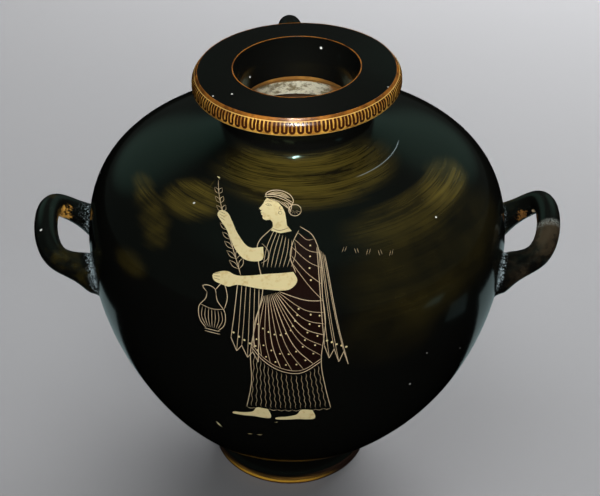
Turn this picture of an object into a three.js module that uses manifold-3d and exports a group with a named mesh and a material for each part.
// A kalpis, the round-bodied water jar of ancient Greece, thrown and joined in fired clay.
// Millimetres, +Z up. The origin is on the table, under the axis of the body, and the front of
// the jar faces -Y. Its two carrying handles lie along X and its pouring handle is behind.

import * as THREE from "three";
import { mergeVertices } from "three/addons/utils/BufferGeometryUtils.js";
import Module from "manifold-3d";

const wasm = await Module();
wasm.setup();

// Foot: a disc with a rounded side, hollowed below so that it stands on a ring
const footRadius = 61;
const footHeight = 16;
const footBandHeight = 4.5;
const footBulge = 1.8;
const footTopRadius = 50;
const footHollowRadius = 47;
const footHollowDepth = 9;

// Body: one unbroken curve from the foot up to the neck
const bodyRadius = 152.4;
const widestHeight = 203.2;
const bodyBaseRadius = 44;
const bodyBaseHeight = 19;
const bodyBaseAngle = 26;
const shoulderTopRadius = 56;
const shoulderTopHeight = 295;
const shoulderTopAngle = 25.6;
const wallThickness = 7;
const floorThickness = 15;

// Fullness of the body's curve: how far it holds its direction at each end of its two halves, as
// a share of the straight distance between the ends
const baseFullness = 0.343;
const bellyFullnessBelow = 0.326;
const bellyFullnessAbove = 0.578;
const shoulderFullness = 0.42;

// Neck and lip
const neckRadius = 49.5;
const neckHeight = 309;
const mouthRadius = 44;
const throatRadius = 38.4;
const throatHeight = 311;
const lipRadius = 72.1;
const lipWidestHeight = 332.3;
const lipBottomHeight = 326.5;
const lipTopRadius = 68.7;
const lipTopEdgeHeight = 338.3;
const lipUndersideAngle = 8;
const lipLowerEdgeAngle = 25;
const lipUpperEdgeAngle = 125;
const jarHeight = 340;
const edgeRounding = 1.2;

// Carrying handles, left and right
const sideHandleThickness = 17;
const sideHandleHeight = 185;
const sideHandleHalfSpan = 31;
const sideHandleReach = 37;
const leftHandleRise = 22.5;
const rightHandleRise = 25.5;

// Where a carrying handle bends, as shares of its reach out of the wall and of its half span
const rearBendOut = 0.93;
const rearBendAlong = 0.95;
const gripAlong = -0.1;
const frontBendOut = 0.7;

// Pouring handle, behind, from the neck over to the shoulder. Its arch is highest at a share of
// its reach, and it is furthest out at a share of the drop from there to the shoulder
const rearHandleThickness = 16.5;
const rearHandleReach = 58;
const rearHandleNeckHeight = 313;
const rearHandleTopHeight = 333;
const rearHandleTopOut = 0.7;
const rearHandleKneeDrop = 0.33;
const rearHandleRootRadius = 112;
const rearHandleTurn = 3.5;

// A handle's root goes this deep into the wall and leaves it square for a short way, and it
// spreads where its joint is smoothed over
const rootDepth = 9;
const rootStraight = 2;
const rootFlare = 5;
const rootFlareLength = 12;

// The jar isn't quite true: its foot is set over to -X and draws the lower body with it, up to
// the true height, and its lip is higher on the +X side
const footOffset = 5.8;
const trueHeight = 120;
const lipTilt = 1.2;

// Fineness of the faceted surface
const outerSides = 68;
const innerSides = 44;
const outerCurveSteps = 10;
const innerCurveSteps = 7;
const roundSteps = 3;
const edgeSteps = 2;
const handleSides = 12;
const handleSteps = 22;

const blackGloss = new THREE.MeshStandardMaterial({
  color: new THREE.Color(0.012, 0.013, 0.012),
  roughness: 0.14,
  metalness: 0,
});

const radians = THREE.MathUtils.degToRad;
const point = (radius, height) => new THREE.Vector2(radius, height);

// A profile curve from start to end that leaves and arrives along the given directions. A pull is
// how far its direction holds, as a share of the straight distance between the two points.
function profileCurve(start, startAngle, end, endAngle, startPull = 0.4, endPull = 0.4) {
  const span = start.distanceTo(end);
  const leave = point(span * startPull, 0).rotateAround(point(0, 0), radians(startAngle));
  const arrive = point(span * endPull, 0).rotateAround(point(0, 0), radians(endAngle));
  return new THREE.CubicBezierCurve(start, start.clone().add(leave), end.clone().sub(arrive), end);
}

const belly = point(bodyRadius, widestHeight);
const bodyBase = point(bodyBaseRadius, bodyBaseHeight);
const shoulderTop = point(shoulderTopRadius, shoulderTopHeight);
const upright = 90;
const lowerBody = profileCurve(bodyBase, bodyBaseAngle, belly, upright, baseFullness, bellyFullnessBelow);
const upperBody = profileCurve(
  belly, upright, shoulderTop, 180 - shoulderTopAngle, bellyFullnessAbove, shoulderFullness,
);

// Joins curves and points into one list, without doubling the points where two pieces meet.
function joined(...pieces) {
  const points = [];
  for (const next of pieces.flat()) {
    const last = points.at(-1);
    if (!last || last.distanceTo(next) > 1e-6) points.push(next);
  }
  return points;
}

// Half the section of the jar's outside, from the middle of the foot's hollow to the mouth.
function outsideProfile() {
  const bandTop = point(footRadius, footBandHeight);
  const footTop = point(footTopRadius, footHeight);
  const footSide = new THREE.CubicBezierCurve(
    bandTop,
    point(footRadius + 2 * footBulge, (footBandHeight + footHeight) / 2),
    point(footRadius, footHeight),
    footTop,
  );
  const neck = point(neckRadius, neckHeight);
  const lipBottom = point(lipRadius - edgeRounding, lipBottomHeight);
  const lipWidest = point(lipRadius, lipWidestHeight);
  const lipTop = point(lipTopRadius, lipTopEdgeHeight);
  return joined(
    point(0, footHollowDepth),
    point(footHollowRadius - footHollowDepth, footHollowDepth),
    point(footHollowRadius, 0),
    point(footRadius - edgeRounding, 0),
    point(footRadius, edgeRounding),
    footSide.getPoints(roundSteps),
    lowerBody.getPoints(outerCurveSteps),
    upperBody.getPoints(outerCurveSteps),
    profileCurve(shoulderTop, 180 - shoulderTopAngle, neck, upright).getPoints(roundSteps),
    profileCurve(neck, upright, lipBottom, lipUndersideAngle).getPoints(roundSteps),
    profileCurve(lipBottom, lipLowerEdgeAngle, lipWidest, upright).getPoints(edgeSteps),
    profileCurve(lipWidest, upright, lipTop, lipUpperEdgeAngle).getPoints(roundSteps),
    point(mouthRadius, jarHeight),
    point(0, jarHeight),
  );
}

// A profile moved inwards by the wall, square to itself at each of its points.
function insetCurve(curve, steps) {
  return Array.from({ length: steps + 1 }, (_, i) => {
    const along = curve.getTangent(i / steps);
    return curve.getPoint(i / steps).add(point(-along.y, along.x).multiplyScalar(wallThickness));
  });
}

// Half the section of the space inside the jar, from the middle of its floor out of the mouth.
function insideProfile() {
  const above = jarHeight + edgeRounding;
  return joined(
    point(0, footHollowDepth + floorThickness),
    insetCurve(lowerBody, innerCurveSteps),
    insetCurve(upperBody, innerCurveSteps),
    point(throatRadius + edgeRounding, throatHeight - 2 * edgeRounding),
    point(throatRadius, throatHeight),
    point(mouthRadius, jarHeight - edgeRounding),
    point(mouthRadius + 2 * edgeRounding, above),
    point(0, above),
  );
}

// A closed geometry as a solid that can be joined and cut.
function solidFrom(geometry) {
  geometry.deleteAttribute("normal");
  geometry.deleteAttribute("uv");
  const merged = mergeVertices(geometry, 1e-3);
  return new wasm.Manifold(
    new wasm.Mesh({
      numProp: 3,
      vertProperties: merged.attributes.position.array,
      triVerts: new Uint32Array(merged.index.array),
    }),
  );
}

function turnedSolid(profile, sides) {
  return solidFrom(new THREE.LatheGeometry(profile, sides).rotateX(Math.PI / 2));
}

// Spreads a rod towards both of its ends, where its joints to the wall are smoothed over.
function spreadRoots(rod, path, thickness) {
  const centres = path.getSpacedPoints(handleSteps);
  const stepLength = path.getLength() / handleSteps;
  const position = rod.attributes.position;
  const vertex = new THREE.Vector3();
  for (let i = 0; i < position.count; i++) {
    vertex.fromBufferAttribute(position, i);
    const distances = centres.map((centre) => centre.distanceTo(vertex));
    const ring = distances.indexOf(Math.min(...distances));
    const outOfWall = Math.max(0, Math.min(ring, handleSteps - ring) * stepLength - rootDepth);
    const spread = rootFlare * Math.exp(-((outOfWall / rootFlareLength) ** 2));
    const centre = centres[ring];
    vertex.sub(centre).multiplyScalar(1 + (2 * spread) / thickness).add(centre);
    position.setXYZ(i, vertex.x, vertex.y, vertex.z);
  }
}

// A handle: a round rod bent along a smooth path through the given points.
function handleSolid(points, thickness) {
  const path = new THREE.CatmullRomCurve3(points, false, "centripetal");
  const section = new THREE.Shape().absarc(0, 0, thickness / 2, 0, 2 * Math.PI);
  const rod = new THREE.ExtrudeGeometry(section, {
    steps: handleSteps,
    extrudePath: path,
    curveSegments: handleSides / 2,
    bevelEnabled: false,
  });
  spreadRoots(rod, path, thickness);
  return solidFrom(rod);
}

// The body's outer radius at a height, and its outer height at a radius of the shoulder.
function bodyRadiusAt(height) {
  const outline = joined(lowerBody.getPoints(200), upperBody.getPoints(200));
  return outline.find((p) => p.y >= height).x;
}

function shoulderHeightAt(radius) {
  return upperBody.getPoints(200).find((p) => p.x <= radius).y;
}

// A carrying handle on side +1 (+X) or -1: a loop that leaves the wall level and rises outwards.
// Its rear bend is the squarer of the two, and reaches a little further out.
function sideHandle(side, rise) {
  const wall = Math.sqrt(bodyRadiusAt(sideHandleHeight) ** 2 - sideHandleHalfSpan ** 2);
  const slope = rise / sideHandleReach;
  const at = (out, along) => new THREE.Vector3(side * (wall + out), along, sideHandleHeight + out * slope);
  const points = [
    at(-rootDepth, sideHandleHalfSpan),
    at(rootStraight, sideHandleHalfSpan),
    at(rearBendOut * sideHandleReach, rearBendAlong * sideHandleHalfSpan),
    at(sideHandleReach, gripAlong * sideHandleHalfSpan),
    at(frontBendOut * sideHandleReach, -sideHandleHalfSpan),
    at(rootStraight, -sideHandleHalfSpan),
    at(-rootDepth, -sideHandleHalfSpan),
  ];
  return handleSolid(points, sideHandleThickness);
}

// The pouring handle: it leaves the neck against the underside of the lip, arches back and comes
// down on the shoulder.
function rearHandle() {
  const top = rearHandleTopHeight - rearHandleThickness / 2;
  const shoulder = shoulderHeightAt(rearHandleRootRadius);
  const outermost = neckRadius + rearHandleReach;
  const turn = radians(rearHandleTurn);
  const at = (out, height) => new THREE.Vector3(-out * Math.sin(turn), out * Math.cos(turn), height);
  const points = [
    at(neckRadius - rootDepth / 2, rearHandleNeckHeight),
    at(neckRadius + rootStraight, rearHandleNeckHeight),
    at(neckRadius + rearHandleTopOut * rearHandleReach, top),
    at(outermost, top - rearHandleKneeDrop * (top - shoulder)),
    at(rearHandleRootRadius, shoulder + rootStraight),
    at(rearHandleRootRadius, shoulder - rootDepth),
  ];
  return handleSolid(points, rearHandleThickness);
}

// Moves a true point to where it is on the jar, with its foot set over and its lip tilted.
function untrue(vertex) {
  const overFoot = 1 - THREE.MathUtils.smoothstep(vertex.z, footHeight, trueHeight);
  const overLip = THREE.MathUtils.smoothstep(vertex.z, shoulderTopHeight, lipBottomHeight);
  vertex.z += vertex.x * Math.tan(radians(lipTilt)) * overLip;
  vertex.x -= footOffset * overFoot;
}

function kalpisGeometry() {
  const solid = turnedSolid(outsideProfile(), outerSides)
    .add(sideHandle(-1, leftHandleRise))
    .add(sideHandle(1, rightHandleRise))
    .add(rearHandle())
    .subtract(turnedSolid(insideProfile(), innerSides));
  const mesh = solid.getMesh();
  const geometry = new THREE.BufferGeometry()
    .setAttribute("position", new THREE.BufferAttribute(mesh.vertProperties, 3))
    .setIndex(new THREE.BufferAttribute(mesh.triVerts, 1));
  const position = geometry.attributes.position;
  const vertex = new THREE.Vector3();
  for (let i = 0; i < position.count; i++) {
    untrue(vertex.fromBufferAttribute(position, i));
    position.setXYZ(i, ...vertex);
  }
  geometry.computeVertexNormals();
  return geometry;
}

const vessel = new THREE.Mesh(kalpisGeometry(), blackGloss);
vessel.name = "kalpis_vessel";

const kalpis = new THREE.Group();
kalpis.add(vessel);
export default kalpis;
